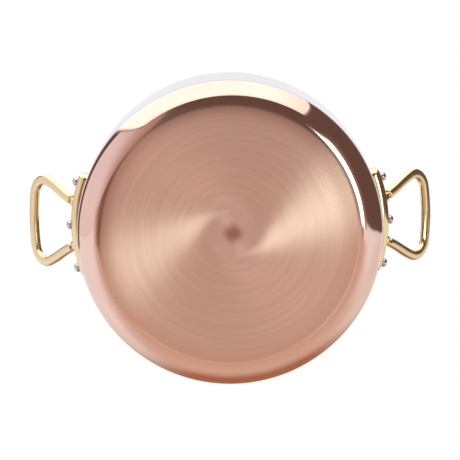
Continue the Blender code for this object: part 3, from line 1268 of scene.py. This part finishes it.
RIGHTWARD = (1.0, 0.0, 0.0)
LEFTWARD = (-1.0, 0.0, 0.0)
BACKWARD = (0.0, 1.0, 0.0)
FORWARD = (0.0, -1.0, 0.0)
UPWARD = (0.0, 0.0, 1.0)
DOWNWARD = (0.0, 0.0, -1.0)
LEFT_TOP = (-0.713, 0.329, -1.0)
LEFT_INNER = (-1.0, 0.42, 0.064)
SEAM = (-0.1, -1.0, 0.0)
RIGHT_END = (-0.15, 1.0, 0.075)
RIGHT_FAR = (-0.10, 1.0, 0.0)
RIGHT_TOP = (-0.095, 1.0, -0.073)
SOFTBOX_LEFT = (0.9145, -1.0, 0.104)
SOFTBOX_RIGHT = (-1.36, -1.0, 0.0)
SOFTBOX_LOW = (-0.165, -0.189, 1.0)
SHEET_WHITE = (0.90, 1.00, 1.07)
ROOM_DARK = (0.137, 0.093, 0.079)

CARDS = (
    Card("back sheet", SHEET_WHITE, (Edge(RIGHT_END), Edge(RIGHT_TOP))),
    Card("back sheet end", SHEET_WHITE, (
        Edge(RIGHT_FAR), Edge(RIGHT_TOP), Edge(RIGHTWARD, 0.35, 0.05))),
    Card("back sheet shade", (0.80, 0.85, 0.845), (
        Edge((0.3, 0.9, 0.3), 0.45, 0.15), Edge(RIGHT_FAR), Edge(RIGHT_TOP))),
    Card("dark shelf", ROOM_DARK, (
        Edge((0.713, -0.329, 1.0)), Edge(FORWARD, -0.16), Edge(LEFTWARD, 0.3, 0.05))),
    Card("left sheet foot", (0.40, 0.25, 0.17), (
        Edge(SEAM), Edge(LEFT_INNER, 0.045, 0.02), Edge(LEFT_TOP))),
    Card("left sheet", (0.84, 0.87, 0.94), (
        Edge(SEAM), Edge(LEFT_INNER, 0.275, 0.375), Edge(LEFT_TOP))),
    Card("back wall", (0.69, 0.57, 0.48), (Edge((0.05, 0.70, -0.70), 0.76, 0.22), Edge(RIGHT_END))),
    Card("back wall foot", (0.63, 0.505, 0.41), (Edge(DOWNWARD, 0.86, 0.12), Edge(RIGHT_END))),
    Card("light ahead", (0.70, 0.66, 0.675), (
        Edge(BACKWARD, 0.02, 0.04), Edge(FORWARD, -0.20, 0.03), Edge(RIGHTWARD, -0.12, 0.04),
        Edge(LEFTWARD, -0.12, 0.04), Edge(DOWNWARD, 0.9, 0.05))),
    Card("left gap", (0.23, 0.12, 0.08), (
        Edge(LEFTWARD, 0.09, 0.03), Edge(RIGHTWARD, -0.36, 0.20),
        Edge(FORWARD, -0.13, 0.008), Edge(BACKWARD, 0.0, 0.01))),
    Card("dark doorway", (0.41, 0.205, 0.125), (
        Edge((0.0, 0.45, 1.0), 0.14, 0.45), Edge((1.0, 0.45, 0.12), 0.0, 0.25),
        Edge((-1.0, 0.80, 0.10), 0.0, 0.3))),
    Card("softbox rim", ROOM_DARK, (
        Edge(SOFTBOX_LEFT, -0.035), Edge(SOFTBOX_RIGHT, -0.035), Edge(SOFTBOX_LOW, -0.61, 0.008))),
    Card("front softbox", (1.30, 1.34, 1.28), (
        Edge(SOFTBOX_LEFT), Edge(SOFTBOX_RIGHT), Edge(SOFTBOX_LOW, -0.588, 0.01))),
    Card("softbox middle", (1.45, 1.64, 1.66), (
        Edge(SOFTBOX_LEFT, 0.0, 0.05), Edge(SOFTBOX_RIGHT, 0.22, 0.2), Edge(SOFTBOX_LOW, -0.51, 0.08))),
    Card("lamp glow", (0.30, 0.22, 0.19), (
        Edge(RIGHTWARD, 0.21, 0.02), Edge(LEFTWARD, -0.60, 0.14),
        Edge(FORWARD, -0.088, 0.006), Edge((0.75, 1.0, 0.0), 0.02, 0.10),
        Edge(DOWNWARD, 0.3, 0.2))),
    Card("low lamp", (2.1, 2.5, 2.6), (
        Edge(RIGHTWARD, 0.21, 0.02), Edge(LEFTWARD, -0.45, 0.05),
        Edge(FORWARD, -0.088, 0.006), Edge((0.75, 1.0, 0.0), 0.02, 0.01),
        Edge(BACKWARD, -0.29, 0.01), Edge(DOWNWARD, 0.5, 0.05))),
    Card("lamp core", (7.2, 10.4, 10.4), (
        Edge(RIGHTWARD, 0.25, 0.04), Edge(LEFTWARD, -0.43, 0.04),
        Edge(FORWARD, -0.03, 0.05), Edge(BACKWARD, -0.18, 0.05),
        Edge(DOWNWARD, 0.5, 0.05))),
    Card("ceiling", (0.87, 0.94, 1.01), (Edge(UPWARD, 0.85, 0.04),)),
)


@dataclass
class Studio:
    """Camera, floor and the surroundings that light the pan and that its metal mirrors."""

    tilt: float = math.radians(5.95)
    roll: float = math.radians(0.95)
    distance: float = 2.7
    aim: Direction = (-0.00002, -0.00232, 0.022)
    sensor: float = 36.0
    focal_pixels: float = 2965.4
    picture_pixels: float = 460.0
    floor_size: float = 12.0
    floor_drop: float = 0.5 * MM
    floor_segments: int = 96
    floor_colour: Colour = (0.86, 0.855, 0.85)

    def build(self) -> None:
        """Sets up the whole studio."""
        self.camera()
        self.floor()
        self.world()

    def camera(self) -> None:
        """Places the camera below the pan, looking up at the base."""
        data = bpy.data.cameras.new("camera")
        data.sensor_width = self.sensor
        data.lens = self.focal_pixels * self.sensor / self.picture_pixels
        camera = bpy.data.objects.new("camera", data)
        bpy.context.scene.collection.objects.link(camera)
        up = Matrix.Rotation(math.pi - self.tilt, 4, "X")
        back = Matrix.Translation(Vector(self.aim)) @ up @ Matrix.Translation((0.0, 0.0, self.distance))
        camera.matrix_world = Matrix.Rotation(self.roll, 4, "Z") @ back
        bpy.context.scene.camera = camera

    def floor(self) -> None:
        """Makes the pale floor, solid from above and clear to what comes from below."""
        shape = bmesh.new()
        place = Matrix.Translation((0.0, 0.0, -self.floor_drop))
        bmesh.ops.create_circle(shape, cap_ends=True, segments=self.floor_segments,
                                radius=self.floor_size / 2, matrix=place)
        mesh = mesh_of(shape, "floor")
        floor = new_piece("floor", mesh)
        material = bpy.data.materials.new("floor_pale")
        material.use_nodes = True
        graph = Graph(material.node_tree)
        graph.tree.nodes.clear()
        paint = graph.add("ShaderNodeBsdfDiffuse", {"Color": with_alpha(self.floor_colour)})
        clear = graph.add("ShaderNodeBsdfTransparent")
        depth = graph.add("ShaderNodeLightPath").outputs["Transparent Depth"]
        passed = graph.math("GREATER_THAN", depth, 0.5)
        behind = graph.add("ShaderNodeNewGeometry").outputs["Backfacing"]
        share = graph.math("MAXIMUM", passed, behind)
        mix = graph.add("ShaderNodeMixShader", {0: share, 1: paint, 2: clear})
        graph.add("ShaderNodeOutputMaterial", {"Surface": mix})
        mesh.materials.append(material)

    def world(self) -> None:
        """Builds the surroundings: sheets and lamps in a dark room, white to the camera."""
        world = bpy.data.worlds.new("studio")
        bpy.context.scene.world = world
        world.use_nodes = True
        graph = Graph(world.node_tree)
        graph.tree.nodes.clear()
        way = graph.add("ShaderNodeTexCoord").outputs["Generated"]
        walls: Feed = ROOM_DARK
        for card in CARDS:
            walls = card.over(graph, way, walls)
        studio = graph.add("ShaderNodeBackground", {"Color": walls})
        white = graph.add("ShaderNodeBackground", {"Color": (1.0, 1.0, 1.0, 1.0)})
        seen = graph.add("ShaderNodeLightPath").outputs["Is Camera Ray"]
        mix = graph.add("ShaderNodeMixShader", {0: seen, 1: studio, 2: white})
        graph.add("ShaderNodeOutputWorld", {"Surface": mix})


def main() -> None:
    """Loads the frame and dresses the pan piece by piece."""
    logging.basicConfig(level=logging.INFO, format="%(name)s: %(message)s")
    bpy.context.scene.view_settings.view_transform = "Standard"
    for obj in list(bpy.data.objects):
        bpy.data.objects.remove(obj)
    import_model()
    Studio().build()
    turner = Turner()
    brushing = Brushing()
    pitting = Pitting()
    body_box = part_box("copper_body")
    pan = Pan(body_box[1].x, body_box[1].z, turner, brushing)
    line = RivetLine(pan)
    drill = line.drill()
    handle = LoopHandle(line, BarSweep(), BRASS.material(pitting))
    rivets = RivetRow(handle, turner, RIVET_STEEL.material(pitting))
    pieces = pan.build(drill) + handle.build(drill) + rivets.build()
    bpy.data.objects.remove(drill)
    for piece in pieces:
        LOG.info("%s: %d faces", piece.name, len(piece.data.polygons))


if __name__ == "__main__":
    main()
